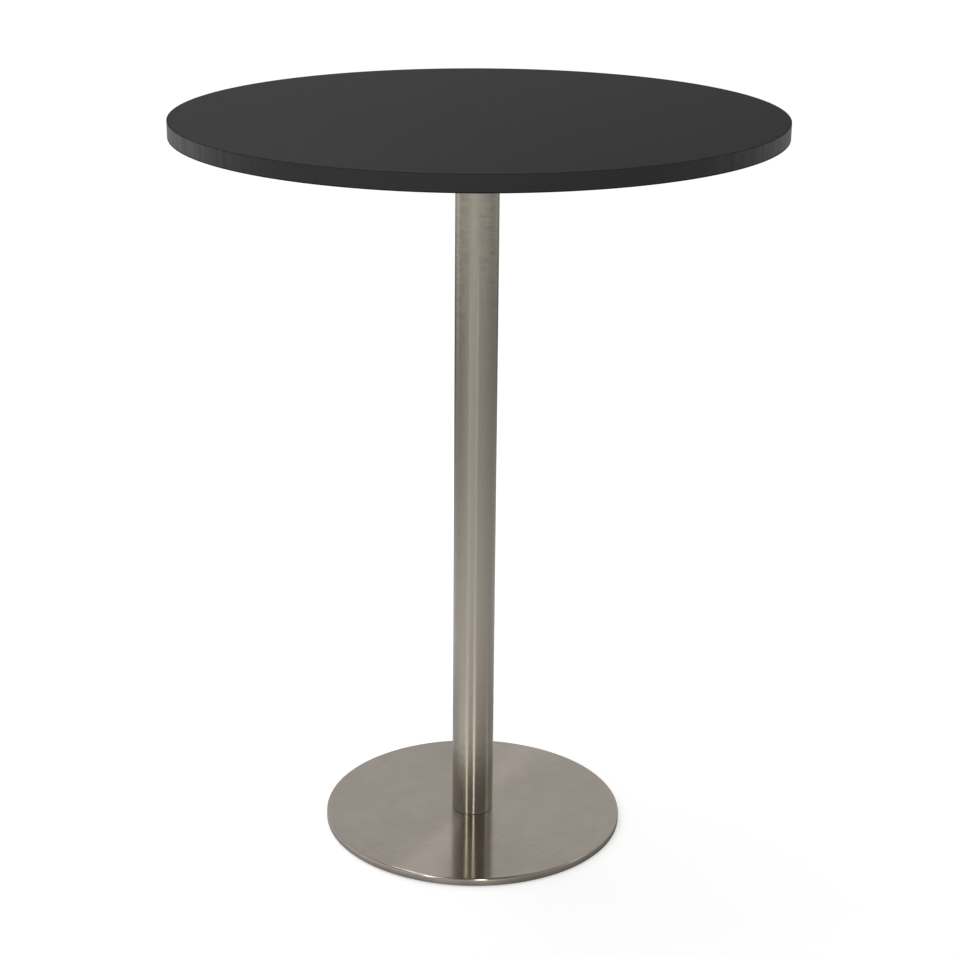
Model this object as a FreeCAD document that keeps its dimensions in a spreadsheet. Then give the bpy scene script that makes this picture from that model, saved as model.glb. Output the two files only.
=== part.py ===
import FreeCAD, Part
import os
import re
import Sketcher

# A tall round pub table. A laminated board is screwed to a square steel plate, a satin
# stainless column stands between that plate and a flat weighted disc, and one threaded rod
# inside the column draws the whole stack together. Four levelling glides screw into the disc.
# The origin is on the floor at the middle of the base, with +Z up along the column.

doc = FreeCAD.newDocument("PubTable")
sheet = doc.addObject("Spreadsheet::Sheet", "sizes")

DRIVING_SIZES = (
    # Whole table
    ("overall_height", 1080, "floor to the upper face of the top"),
    # Top
    ("top_diameter", 850, "over the edge band"),
    ("core_thickness", 22, "particle board"),
    ("laminate_thickness", 0.6, "decorative sheet on the upper face"),
    ("backing_thickness", 0.6, "balancing sheet on the underside"),
    ("band_thickness", 2, "plastic edge band, measured along a radius"),
    ("band_chamfer", 0.5, "broken arris of the edge band"),
    # Mounting plate and its wood screws
    ("plate_width", 300, "side of the square mounting plate"),
    ("plate_thickness", 5, "steel plate"),
    ("plate_corner_radius", 20, "rounded corners of the plate"),
    ("plate_screw_margin", 22, "from a side of the plate to its wood screws"),
    ("wood_screw_diameter", 5, "shank"),
    ("wood_screw_head", 9.4, "countersunk head"),
    ("wood_screw_length", 20, "from the head's flat to the point"),
    ("wood_screw_point", 5, "length of the tapered point"),
    ("wood_screw_tip", 1, "diameter at the end of the point"),
    ("wood_screw_play", 0.25, "radial play of a wood screw in the steel plate"),
    ("pilot_extra_depth", 0.6, "pilot hole beyond the screw's point"),
    # Hub under the plate, with the rod's washers and nut
    ("hub_height", 22, "depth of the hub below the plate"),
    ("hub_floor", 6, "thickness under the washers"),
    ("hub_bore", 44, "room for a socket on the nut"),
    ("washer_diameter", 24, "flat washer"),
    ("washer_thickness", 2.5, "flat washer"),
    ("spring_washer_diameter", 20.6, "split spring washer"),
    ("spring_washer_thickness", 2.6, "split spring washer, pressed flat"),
    ("spring_washer_turn", 350, "degrees of ring that the split leaves"),
    ("nut_across_flats", 18, "hexagon nut"),
    ("nut_height", 10.8, "hexagon nut"),
    # Rod
    ("rod_diameter", 12, "threaded tie rod"),
    ("rod_play", 0.5, "radial play of the rod in washers and hub"),
    ("rod_beyond_nut", 2.8, "rod standing above its nut"),
    ("rod_chamfer", 1, "chamfer at each end of the rod"),
    ("thread_clearance", 0.06, "radial clearance of every screwed pair"),
    # Column
    ("column_diameter", 62, "outside of the tube"),
    ("column_wall", 1.5, "wall of the tube"),
    ("column_fit", 0.2, "radial clearance of the hub and the spigot in the tube"),
    ("lead_in", 1.5, "chamfer that guides the tube on"),
    # Foot
    ("gasket_thickness", 0.8, "plastic ring under the column"),
    ("spigot_height", 24, "boss above the ballast plate"),
    ("spigot_thread_depth", 18, "blind thread for the rod"),
    ("spigot_screw_circle", 38, "pitch circle of the spigot's screws"),
    ("spigot_screw_count", 3, "screws that hold the spigot"),
    ("spigot_screw_diameter", 8, "countersunk machine screw"),
    ("spigot_screw_head", 15.8, "countersunk head"),
    ("spigot_screw_length", 20, "from the head's flat to the end"),
    ("spigot_screw_play", 0.2, "radial play of these screws in the ballast plate"),
    ("tapped_extra_depth", 2, "tapped hole beyond the screw's end"),
    # Base
    ("base_diameter", 450, "over the cover"),
    ("base_height", 13.6, "floor to the upper face of the cover"),
    ("cover_sheet", 0.6, "stainless sheet"),
    ("cover_rim_radius", 3, "outside radius of the pressed rim"),
    ("cover_hole_clearance", 0.1, "radial clearance round the spigot"),
    ("rim_lift", 2.5, "floor to the lower edge of the cover"),
    ("ballast_thickness", 8, "solid steel disc"),
    ("ballast_clearance", 1, "between the disc and the cover's skirt"),
    # Levelling glides
    ("glide_count", 4, "levelling glides"),
    ("glide_circle", 360, "pitch circle of the glides"),
    ("glide_first_angle", 45, "degrees from +X to the first glide"),
    ("stud_diameter", 8, "threaded stud"),
    ("stud_flange_diameter", 14, "flange held in the pad"),
    ("stud_flange_thickness", 1.8, "flange held in the pad"),
    ("stud_top_clearance", 0.5, "between the stud's end and the cover"),
    ("key_across_flats", 4, "hexagon socket in the stud"),
    ("key_depth", 4, "hexagon socket in the stud"),
    ("pad_diameter", 30, "plastic pad"),
    ("pad_floor", 1.4, "pad under the stud's flange"),
    ("pad_gap", 0.4, "between the pad and the ballast plate"),
    ("pad_fit", 0.08, "radial running clearance of the stud in the pad"),
    ("pad_end_play", 0.05, "axial play of the flange in the pad, each side"),
    ("pad_key_hole", 6.5, "opening under the stud for the key"),
    ("pad_chamfer", 0.8, "bevel of the pad's edges"),
)

for row, (alias, number, meaning) in enumerate(DRIVING_SIZES, start=1):
    sheet.set(f"A{row}", alias)
    sheet.set(f"B{row}", str(number))
    sheet.set(f"C{row}", meaning)
    sheet.setAlias(f"B{row}", alias)
doc.recompute()

ALIASES = {alias for alias, number, meaning in DRIVING_SIZES}

# Heights above the floor, and sizes that follow from a seat or a fit, as formulas.
TOP_UNDERSIDE = "(overall_height - laminate_thickness - core_thickness - backing_thickness)"
CORE_UNDERSIDE = f"({TOP_UNDERSIDE} + backing_thickness)"
CORE_DIAMETER = "(top_diameter - 2 * band_thickness)"
PLATE_UNDERSIDE = f"({TOP_UNDERSIDE} - plate_thickness)"
COLUMN_BORE = "(column_diameter - 2 * column_wall)"
SPIGOT_DIAMETER = f"({COLUMN_BORE} - 2 * column_fit)"
BALLAST_TOP = "(base_height - cover_sheet)"
BALLAST_UNDERSIDE = f"({BALLAST_TOP} - ballast_thickness)"
COLUMN_FOOT = "(base_height + gasket_thickness)"
ROD_HOLE = "(rod_diameter + 2 * rod_play)"
ROD_THREAD = "(rod_diameter + 2 * thread_clearance)"
ROD_FOOT = f"({BALLAST_TOP} + spigot_height - spigot_thread_depth)"
WASHER_SEAT = f"({PLATE_UNDERSIDE} - hub_height + hub_floor)"
SPRING_SEAT = f"({WASHER_SEAT} + washer_thickness)"
NUT_SEAT = f"({SPRING_SEAT} + spring_washer_thickness)"
ROD_LENGTH = f"({NUT_SEAT} + nut_height + rod_beyond_nut - {ROD_FOOT})"
PLATE_SCREW_REACH = "(plate_width / 2 - plate_screw_margin)"
PLATE_SCREW_PLACES = ((PLATE_SCREW_REACH, PLATE_SCREW_REACH), (PLATE_SCREW_REACH, "0"))
PLATE_SIDES = "4"
STUD_FOOT = "(pad_floor + pad_end_play)"

TOLERANCE = 0.01  # millimetres, or cubic millimetres for a volume


def bound(formula):
    """The formula with each of the sheet's names pointing into the sheet."""
    return re.sub(r"[a-z_]+", lambda word: f"sizes.{word[0]}" if word[0] in ALIASES else word[0], formula)


def value(formula):
    """The formula worked out in millimetres, degrees or a plain count."""
    return float(sheet.evalExpression(bound(formula)))


def place(item, across="0", along="0", height="0"):
    """Tie an object's position to the sheet."""
    for axis, formula in zip("xyz", (across, along, height)):
        if formula != "0":
            item.setExpression(f"Placement.Base.{axis}", bound(formula))


def new_body(name, across="0", along="0", height="0"):
    body = doc.addObject("PartDesign::Body", name)
    body.Label = name
    place(body, across, along, height)
    return body


def origin_feature(body, role):
    return next(item for item in body.Origin.OriginFeatures if item.Role == role)


def new_sketch(body, name, plane):
    sketch = body.newObject("Sketcher::SketchObject", name)
    sketch.AttachmentSupport = (origin_feature(body, plane), [""])
    sketch.MapMode = "FlatFace"
    return sketch


def pin_point(sketch, edge, end, across, up):
    """Fix one point of a sketch at two distances from the sketch's origin."""
    for kind, formula, axis_line in (("DistanceX", across, -2), ("DistanceY", up, -1)):
        if formula == "0":
            sketch.addConstraint(Sketcher.Constraint("PointOnObject", edge, end, axis_line))
        else:
            number = sketch.addConstraint(Sketcher.Constraint(kind, -1, 1, edge, end, value(formula)))
            sketch.setExpression(f"Constraints[{number}]", bound(formula))


def outline(body, name, corners, plane="XZ_Plane"):
    """A closed sketch of straight lines through corners given as pairs of formulas."""
    sketch = new_sketch(body, name, plane)
    points = [FreeCAD.Vector(value(across), value(up), 0) for across, up in corners]
    for start, end in zip(points, points[1:] + points[:1]):
        sketch.addGeometry(Part.LineSegment(start, end), False)
    for edge in range(len(points)):
        sketch.addConstraint(Sketcher.Constraint("Coincident", edge, 2, (edge + 1) % len(points), 1))
    for edge, (across, up) in enumerate(corners):
        pin_point(sketch, edge, 1, across, up)
    return sketch


def square_sketch(body, name, width):
    """A square centred on the body's axis."""
    sketch = new_sketch(body, name, "XY_Plane")
    half = value(width) / 2
    points = [FreeCAD.Vector(half * x, half * y, 0) for x, y in ((1, 1), (-1, 1), (-1, -1), (1, -1))]
    for start, end in zip(points, points[1:] + points[:1]):
        sketch.addGeometry(Part.LineSegment(start, end), False)
    for edge, direction in enumerate(("Horizontal", "Vertical", "Horizontal", "Vertical")):
        sketch.addConstraint(Sketcher.Constraint("Coincident", edge, 2, (edge + 1) % 4, 1))
        sketch.addConstraint(Sketcher.Constraint(direction, edge))
    sketch.addConstraint(Sketcher.Constraint("Symmetric", 0, 1, 2, 1, -1, 1))
    pin_point(sketch, 0, 1, f"{width} / 2", f"{width} / 2")
    return sketch


def circle_sketch(body, name, diameter, across="0", along="0"):
    sketch = new_sketch(body, name, "XY_Plane")
    centre = FreeCAD.Vector(value(across), value(along), 0)
    sketch.addGeometry(Part.Circle(centre, FreeCAD.Vector(0, 0, 1), value(diameter) / 2), False)
    pin_point(sketch, 0, 3, across, along)
    number = sketch.addConstraint(Sketcher.Constraint("Diameter", 0, value(diameter)))
    sketch.setExpression(f"Constraints[{number}]", bound(diameter))
    return sketch


def revolve(body, name, sketch, axis="V_Axis", turn="360"):
    """Turn a profile about the sketch's vertical axis, or about a line drawn in it."""
    feature = body.newObject("PartDesign::Revolution", name)
    feature.Profile = sketch
    feature.ReferenceAxis = (sketch, [axis])
    feature.setExpression("Angle", bound(turn))
    body.Tip = feature
    return feature


def turned(name, corners, across="0", along="0", height="0", turn="360"):
    """A body turned about its own vertical axis from (radius, height) corners."""
    body = new_body(name, across, along, height)
    revolve(body, f"{name}_turning", outline(body, f"{name}_profile", corners), turn=turn)
    return body


def pad(body, name, sketch, length):
    feature = body.newObject("PartDesign::Pad", name)
    feature.Profile = sketch
    feature.setExpression("Length", bound(length))
    body.Tip = feature
    return feature


def drill(body, name, diameter, depth, across="0", along="0"):
    """A straight hole upwards from the body's lower face."""
    sketch = circle_sketch(body, f"{name}_circle", diameter, across, along)
    feature = body.newObject("PartDesign::Pocket", name)
    feature.Profile = sketch
    feature.Reversed = True
    feature.setExpression("Length", bound(depth))
    body.Tip = feature
    return feature


def countersink(body, name, diameter, head, across, along):
    """A through hole with a 90 degree countersink in the body's lower face."""
    sketch = circle_sketch(body, f"{name}_circle", diameter, across, along)
    doc.recompute()
    feature = body.newObject("PartDesign::Hole", name)
    feature.Profile = sketch
    feature.Reversed = True
    feature.ThreadType = "None"
    feature.DepthType = "ThroughAll"
    feature.HoleCutType = "Countersink"
    feature.HoleCutCountersinkAngle = 90
    feature.setExpression("Diameter", bound(diameter))
    feature.setExpression("HoleCutDiameter", bound(head))
    body.Tip = feature
    return feature


def repeat_round(body, name, features, count):
    """Repeat features evenly about the body's vertical axis."""
    feature = body.newObject("PartDesign::PolarPattern", name)
    feature.Originals = features
    feature.Axis = (origin_feature(body, "Z_Axis"), [""])
    feature.Angle = 360
    feature.setExpression("Occurrences", bound(count))
    body.Tip = feature
    return feature


def round_edges(body, name, radius, belongs):
    """Fillet the edges of the body's last feature that a test picks out."""
    doc.recompute()
    base = body.Tip
    edges = [f"Edge{number}" for number, edge in enumerate(base.Shape.Edges, start=1) if belongs(edge)]
    feature = body.newObject("PartDesign::Fillet", name)
    feature.Base = (base, edges)
    feature.setExpression("Radius", bound(radius))
    body.Tip = feature
    return feature


def is_ring_at(diameter, height):
    """A test for the level circular edge of a diameter and height in the body's own frame."""
    def belongs(edge):
        if not isinstance(edge.Curve, Part.Circle):
            return False
        same_size = abs(2 * edge.Curve.Radius - value(diameter)) < TOLERANCE
        return same_size and abs(edge.CenterOfMass.z - value(height)) < TOLERANCE
    return belongs


def screw(body, name, corners, across, along):
    """One screw of a group, turned about a vertical line that stands off the body's axis."""
    shifted = [(f"({across} + {radius})", up) for radius, up in corners]
    sketch = outline(body, f"{name}_profile", shifted)
    base = FreeCAD.Vector(value(across), -1, 0)
    axis_line = sketch.addGeometry(Part.LineSegment(base, base + FreeCAD.Vector(0, 1, 0)), True)
    sketch.addConstraint(Sketcher.Constraint("Vertical", axis_line))
    sketch.addConstraint(Sketcher.Constraint("PointOnObject", 0, 1, axis_line))
    if along != "0":
        sketch.setExpression("AttachmentOffset.Base.z", bound(f"-{along}"))
    return revolve(body, f"{name}_turning", sketch, axis="Axis0")


# Top ------------------------------------------------------------------------------------------

def top_laminate():
    """Decorative high-pressure laminate, bonded to the board inside the edge band."""
    sheet_disc = doc.addObject("Part::Cylinder", "top_laminate")
    sheet_disc.Label = "top_laminate"
    sheet_disc.setExpression("Radius", bound(f"{CORE_DIAMETER} / 2"))
    sheet_disc.setExpression("Height", bound("laminate_thickness"))
    place(sheet_disc, height="overall_height - laminate_thickness")
    return sheet_disc


def edge_band():
    """Plastic band over the whole edge of the laminated board, with broken arrises."""
    inner = f"({CORE_DIAMETER} / 2)"
    outer = "(top_diameter / 2)"
    tall = f"(overall_height - {TOP_UNDERSIDE})"
    corners = (
        (inner, "0"),
        (f"{outer} - band_chamfer", "0"),
        (outer, "band_chamfer"),
        (outer, f"{tall} - band_chamfer"),
        (f"{outer} - band_chamfer", tall),
        (inner, tall),
    )
    return turned("edge_band", corners, height=TOP_UNDERSIDE)


def board_disc(name, thickness, hole_diameter, hole_depth, height):
    """A round sheet or board with a hole over each wood screw."""
    body = new_body(name, height=height)
    pad(body, f"{name}_disc", circle_sketch(body, f"{name}_circle", CORE_DIAMETER), thickness)
    holes = [
        drill(body, f"{name}_hole_{number}", hole_diameter, hole_depth, across, along)
        for number, (across, along) in enumerate(PLATE_SCREW_PLACES)
    ]
    repeat_round(body, f"{name}_holes", holes, PLATE_SIDES)
    return body


def top_core():
    """Particle board with blind pilot holes for the wood screws."""
    depth = "(wood_screw_length - plate_thickness - backing_thickness + pilot_extra_depth)"
    diameter = "(wood_screw_diameter + 2 * thread_clearance)"
    return board_disc("top_core", "core_thickness", diameter, depth, CORE_UNDERSIDE)


def backing_laminate():
    """Balancing sheet on the underside, drilled through for the wood screws."""
    diameter = "(wood_screw_diameter + 2 * wood_screw_play)"
    return board_disc("backing_laminate", "backing_thickness", diameter, "backing_thickness", TOP_UNDERSIDE)


# Mounting plate and hub -----------------------------------------------------------------------

def mounting_plate():
    """Square steel plate, open in the middle over the hub, countersunk from below."""
    body = new_body("mounting_plate", height=PLATE_UNDERSIDE)
    pad(body, "plate_sheet", square_sketch(body, "plate_outline", "plate_width"), "plate_thickness")
    half = value("plate_width / 2")
    round_edges(body, "plate_corners", "plate_corner_radius",
                lambda edge: min(abs(edge.CenterOfMass.x), abs(edge.CenterOfMass.y)) > half - TOLERANCE)
    drill(body, "plate_middle", "hub_bore", "plate_thickness")
    holes = [
        countersink(body, f"plate_hole_{number}", "(wood_screw_diameter + 2 * wood_screw_play)",
                    "wood_screw_head", across, along)
        for number, (across, along) in enumerate(PLATE_SCREW_PLACES)
    ]
    repeat_round(body, "plate_holes", holes, PLATE_SIDES)
    return body


def plate_screws():
    """Eight countersunk wood screws, heads flush with the underside of the plate."""
    body = new_body("plate_screws", height=PLATE_UNDERSIDE)
    corners = (
        ("0", "0"),
        ("wood_screw_head / 2", "0"),
        ("wood_screw_diameter / 2", "(wood_screw_head - wood_screw_diameter) / 2"),
        ("wood_screw_diameter / 2", "wood_screw_length - wood_screw_point"),
        ("wood_screw_tip / 2", "wood_screw_length"),
        ("0", "wood_screw_length"),
    )
    screws = [
        screw(body, f"plate_screw_{number}", corners, across, along)
        for number, (across, along) in enumerate(PLATE_SCREW_PLACES)
    ]
    repeat_round(body, "plate_screw_group", screws, PLATE_SIDES)
    return body


def plate_hub():
    """Turned steel cup welded under the plate; the column's top end slides over it."""
    outer = f"({SPIGOT_DIAMETER} / 2)"
    corners = (
        (f"{ROD_HOLE} / 2", "0"),
        (f"{outer} - lead_in", "0"),
        (outer, "lead_in"),
        (outer, "hub_height"),
        ("hub_bore / 2", "hub_height"),
        ("hub_bore / 2", "hub_floor"),
        (f"{ROD_HOLE} / 2", "hub_floor"),
    )
    return turned("plate_hub", corners, height=f"{PLATE_UNDERSIDE} - hub_height")


def washer(name, diameter, thickness, height, turn="360"):
    """A ring round the rod; a turn under 360 degrees leaves a split."""
    corners = (
        (f"{ROD_HOLE} / 2", "0"),
        (f"{diameter} / 2", "0"),
        (f"{diameter} / 2", thickness),
        (f"{ROD_HOLE} / 2", thickness),
    )
    return turned(name, corners, height=height, turn=turn)


def hub_nut():
    """Hexagon nut that draws the stack together."""
    hexagon = doc.addObject("Part::Prism", "hub_nut_hexagon")
    hexagon.Polygon = 6
    hexagon.setExpression("Circumradius", bound("nut_across_flats / 2 / cos(30)"))
    hexagon.setExpression("Height", bound("nut_height"))
    thread = doc.addObject("Part::Cylinder", "hub_nut_thread")
    thread.setExpression("Radius", bound(f"{ROD_THREAD} / 2"))
    thread.setExpression("Height", bound("nut_height"))
    nut = doc.addObject("Part::Cut", "hub_nut")
    nut.Label = "hub_nut"
    nut.Base = hexagon
    nut.Tool = thread
    place(nut, height=NUT_SEAT)
    return nut


# Column and rod -------------------------------------------------------------------------------

def tie_rod():
    """Threaded rod from the spigot's blind thread to the nut in the hub."""
    corners = (
        ("0", "0"),
        ("rod_diameter / 2 - rod_chamfer", "0"),
        ("rod_diameter / 2", "rod_chamfer"),
        ("rod_diameter / 2", f"{ROD_LENGTH} - rod_chamfer"),
        ("rod_diameter / 2 - rod_chamfer", ROD_LENGTH),
        ("0", ROD_LENGTH),
    )
    return turned("tie_rod", corners, height=ROD_FOOT)


def ring_under_column(name, tall, height):
    """A ring with the column's own section."""
    corners = (
        (f"{COLUMN_BORE} / 2", "0"),
        ("column_diameter / 2", "0"),
        ("column_diameter / 2", tall),
        (f"{COLUMN_BORE} / 2", tall),
    )
    return turned(name, corners, height=height)


def column_tube():
    """Round stainless tube, cut square, between the gasket and the mounting plate."""
    return ring_under_column("column_tube", f"({PLATE_UNDERSIDE} - {COLUMN_FOOT})", COLUMN_FOOT)


def foot_gasket():
    """Thin plastic ring that keeps the column's end off the cover."""
    return ring_under_column("foot_gasket", "gasket_thickness", "base_height")


# Base -----------------------------------------------------------------------------------------

def foot_spigot():
    """Turned boss on the ballast plate: it centres the column's foot and holds the rod."""
    outer = f"({SPIGOT_DIAMETER} / 2)"
    thread_floor = "(spigot_height - spigot_thread_depth)"
    corners = (
        ("0", "0"),
        (outer, "0"),
        (outer, "spigot_height - lead_in"),
        (f"{outer} - lead_in", "spigot_height"),
        (f"{ROD_THREAD} / 2", "spigot_height"),
        (f"{ROD_THREAD} / 2", thread_floor),
        ("0", thread_floor),
    )
    body = turned("foot_spigot", corners, height=BALLAST_TOP)
    hole = drill(body, "spigot_tapping", "(spigot_screw_diameter + 2 * thread_clearance)",
                 "(spigot_screw_length - ballast_thickness + tapped_extra_depth)",
                 across="(spigot_screw_circle / 2)")
    repeat_round(body, "spigot_tappings", [hole], "spigot_screw_count")
    return body


def spigot_screws():
    """Countersunk machine screws up through the ballast plate into the spigot."""
    body = new_body("spigot_screws", height=BALLAST_UNDERSIDE)
    corners = (
        ("0", "0"),
        ("spigot_screw_head / 2", "0"),
        ("spigot_screw_diameter / 2", "(spigot_screw_head - spigot_screw_diameter) / 2"),
        ("spigot_screw_diameter / 2", "spigot_screw_length"),
        ("0", "spigot_screw_length"),
    )
    single = screw(body, "spigot_screw", corners, "(spigot_screw_circle / 2)", "0")
    repeat_round(body, "spigot_screw_group", [single], "spigot_screw_count")
    return body


def base_cover():
    """Pressed stainless disc with a rounded rim and a short skirt, open below."""
    outer = "(base_diameter / 2)"
    hole = f"({SPIGOT_DIAMETER} / 2 + cover_hole_clearance)"
    tall = "(base_height - rim_lift)"
    ceiling = f"({tall} - cover_sheet)"
    corners = (
        (f"{outer} - cover_sheet", "0"),
        (outer, "0"),
        (outer, tall),
        (hole, tall),
        (hole, ceiling),
        (f"{outer} - cover_sheet", ceiling),
    )
    body = turned("base_cover", corners, height="rim_lift")
    round_edges(body, "cover_outer_bend", "cover_rim_radius", is_ring_at("base_diameter", tall))
    round_edges(body, "cover_inner_bend", "cover_rim_radius - cover_sheet",
                is_ring_at("(base_diameter - 2 * cover_sheet)", ceiling))
    return body


def ballast_plate():
    """Heavy steel disc under the cover, tapped for the glides, bevelled clear of the bend."""
    outer = "(base_diameter / 2 - cover_sheet - ballast_clearance)"
    bevel = "(cover_rim_radius - cover_sheet)"
    corners = (
        ("0", "0"),
        (outer, "0"),
        (outer, f"ballast_thickness - {bevel}"),
        (f"{outer} - {bevel}", "ballast_thickness"),
        ("0", "ballast_thickness"),
    )
    body = turned("ballast_plate", corners, height=BALLAST_UNDERSIDE)
    glide_hole = drill(body, "glide_thread", "(stud_diameter + 2 * thread_clearance)", "ballast_thickness",
                       "(glide_circle / 2 * cos(glide_first_angle))",
                       "(glide_circle / 2 * sin(glide_first_angle))")
    repeat_round(body, "glide_threads", [glide_hole], "glide_count")
    screw_hole = countersink(body, "spigot_screw_hole", "(spigot_screw_diameter + 2 * spigot_screw_play)",
                             "spigot_screw_head", "(spigot_screw_circle / 2)", "0")
    repeat_round(body, "spigot_screw_holes", [screw_hole], "spigot_screw_count")
    return body


# Levelling glides -----------------------------------------------------------------------------

def glide_place(number):
    """Where one glide stands on its pitch circle."""
    angle = f"(glide_first_angle + 360 / glide_count * {number})"
    return f"glide_circle / 2 * cos({angle})", f"glide_circle / 2 * sin({angle})"


def glide_pad(number):
    """Plastic pad on the floor, snapped round the stud's flange, open below for the key."""
    across, along = glide_place(number)
    tall = f"({BALLAST_UNDERSIDE} - pad_gap)"
    socket = "(stud_flange_diameter / 2 + pad_fit)"
    socket_top = "(pad_floor + stud_flange_thickness + 2 * pad_end_play)"
    mouth = "(stud_diameter / 2 + pad_fit)"
    corners = (
        ("pad_key_hole / 2", "0"),
        ("pad_diameter / 2 - pad_chamfer", "0"),
        ("pad_diameter / 2", "pad_chamfer"),
        ("pad_diameter / 2", f"{tall} - pad_chamfer"),
        ("pad_diameter / 2 - pad_chamfer", tall),
        (mouth, tall),
        (mouth, socket_top),
        (socket, socket_top),
        (socket, "pad_floor"),
        ("pad_key_hole / 2", "pad_floor"),
    )
    return turned(f"glide_pad_{number + 1}", corners, across, along)


def glide_stud(number):
    """Flanged stud screwed into the ballast plate, with a hexagon socket below."""
    across, along = glide_place(number)
    name = f"glide_stud_{number + 1}"
    tall = f"({BALLAST_TOP} - stud_top_clearance - {STUD_FOOT})"
    corners = (
        ("0", "0"),
        ("stud_flange_diameter / 2", "0"),
        ("stud_flange_diameter / 2", "stud_flange_thickness"),
        ("stud_diameter / 2", "stud_flange_thickness"),
        ("stud_diameter / 2", tall),
        ("0", tall),
    )
    body = turned(name, corners, across, along, STUD_FOOT)
    socket = body.newObject("PartDesign::SubtractivePrism", f"{name}_key_socket")
    socket.Polygon = 6
    socket.setExpression("Circumradius", bound("key_across_flats / 2 / cos(30)"))
    socket.setExpression("Height", bound("key_depth"))
    body.Tip = socket
    return body


# Assembly and export --------------------------------------------------------------------------

sub_parts = [
    top_laminate(),
    edge_band(),
    top_core(),
    backing_laminate(),
    mounting_plate(),
    plate_screws(),
    plate_hub(),
    washer("hub_washer", "washer_diameter", "washer_thickness", WASHER_SEAT),
    washer("hub_spring_washer", "spring_washer_diameter", "spring_washer_thickness", SPRING_SEAT,
           turn="spring_washer_turn"),
    hub_nut(),
    tie_rod(),
    column_tube(),
    foot_gasket(),
    foot_spigot(),
    spigot_screws(),
    base_cover(),
    ballast_plate(),
]
for number in range(int(value("glide_count"))):
    sub_parts += [glide_pad(number), glide_stud(number)]

doc.recompute()

for item in doc.Objects:
    if "Invalid" in item.State or "Error" in item.State:
        raise RuntimeError(f"{item.Label} failed to build: {item.State}")
    if item.TypeId in ("PartDesign::Pocket", "PartDesign::Hole", "PartDesign::SubtractivePrism"):
        if item.Shape.Volume > item.BaseFeature.Shape.Volume - TOLERANCE:
            raise RuntimeError(f"{item.Label} cuts nothing")
for item in sub_parts:
    if item.Shape.isNull() or not item.Shape.isValid():
        raise RuntimeError(f"{item.Label} has no valid shape")

os.makedirs("parts", exist_ok=True)
for item in sub_parts:
    item.Shape.exportStep(f"parts/{item.Label}.step")
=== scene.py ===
import math

import bmesh
import bpy
import numpy as np
from mathutils import Euler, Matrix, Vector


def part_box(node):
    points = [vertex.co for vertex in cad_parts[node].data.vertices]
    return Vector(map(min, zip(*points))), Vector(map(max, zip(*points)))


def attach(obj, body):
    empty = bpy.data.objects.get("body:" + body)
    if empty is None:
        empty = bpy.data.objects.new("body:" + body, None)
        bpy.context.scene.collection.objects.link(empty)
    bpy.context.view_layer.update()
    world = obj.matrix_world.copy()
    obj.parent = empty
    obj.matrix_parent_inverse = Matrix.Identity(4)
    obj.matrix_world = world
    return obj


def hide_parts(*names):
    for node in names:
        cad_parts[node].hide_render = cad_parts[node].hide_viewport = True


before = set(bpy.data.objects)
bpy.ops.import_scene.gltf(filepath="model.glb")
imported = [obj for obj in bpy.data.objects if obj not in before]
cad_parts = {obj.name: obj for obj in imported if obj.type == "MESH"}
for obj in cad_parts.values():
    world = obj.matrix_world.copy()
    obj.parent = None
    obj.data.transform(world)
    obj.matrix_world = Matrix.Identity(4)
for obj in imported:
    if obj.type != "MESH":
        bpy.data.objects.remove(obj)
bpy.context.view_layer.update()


# Levelling glides -----------------------------------------------------------------------------
# Four moulded plastic pads stand on the floor, each snapped round the flange of a zinc-plated
# stud. The stud screws into the ballast plate and is turned from below with a hexagon key.

SHARP_ANGLE = math.radians(35)


def rounded_profile(corners, radius, steps=5):
    """A closed outline of (r, z) corners with every corner cut back to a circular arc.

    The arc starts and ends at radius / tan(half the corner's angle) from the corner and is
    sampled as centre + radius * (cos, sin) between the two tangent directions. One more point
    a quarter of the radius beyond each end keeps the shading of the flats true.
    """
    points = []
    count = len(corners)
    for index in range(count):
        before, corner, after = (
            np.array(corners[(index + step) % count], float) for step in (-1, 0, 1))
        to_before = (before - corner) / np.linalg.norm(before - corner)
        to_after = (after - corner) / np.linalg.norm(after - corner)
        half_angle = math.acos(np.clip(to_before @ to_after, -1, 1)) / 2
        cut = radius / math.tan(half_angle)
        middle = to_before + to_after
        centre = corner + middle / np.linalg.norm(middle) * radius / math.sin(half_angle)
        start = corner + to_before * cut - centre
        end = corner + to_after * cut - centre
        first = math.atan2(start[1], start[0])
        sweep = (math.atan2(end[1], end[0]) - first + math.pi) % (2 * math.pi) - math.pi
        angles = first + sweep * np.linspace(0, 1, steps)
        points.append([corner + to_before * (cut + radius / 4)])
        points.append(centre + radius * np.stack([np.cos(angles), np.sin(angles)], axis=1))
        points.append([corner + to_after * (cut + radius / 4)])
    return np.concatenate(points)


def placed(name, data):
    """An object made of a mesh, lamp or camera, at the origin and linked to the scene."""
    thing = bpy.data.objects.new(name, data)
    bpy.context.scene.collection.objects.link(thing)
    return thing


def shade_smooth(mesh):
    """Smooth shading that stays sharp at edges steeper than the sharp angle."""
    mesh.polygons.foreach_set("use_smooth", np.ones(len(mesh.polygons), bool))
    mesh.set_sharp_from_angle(angle=SHARP_ANGLE)


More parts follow.
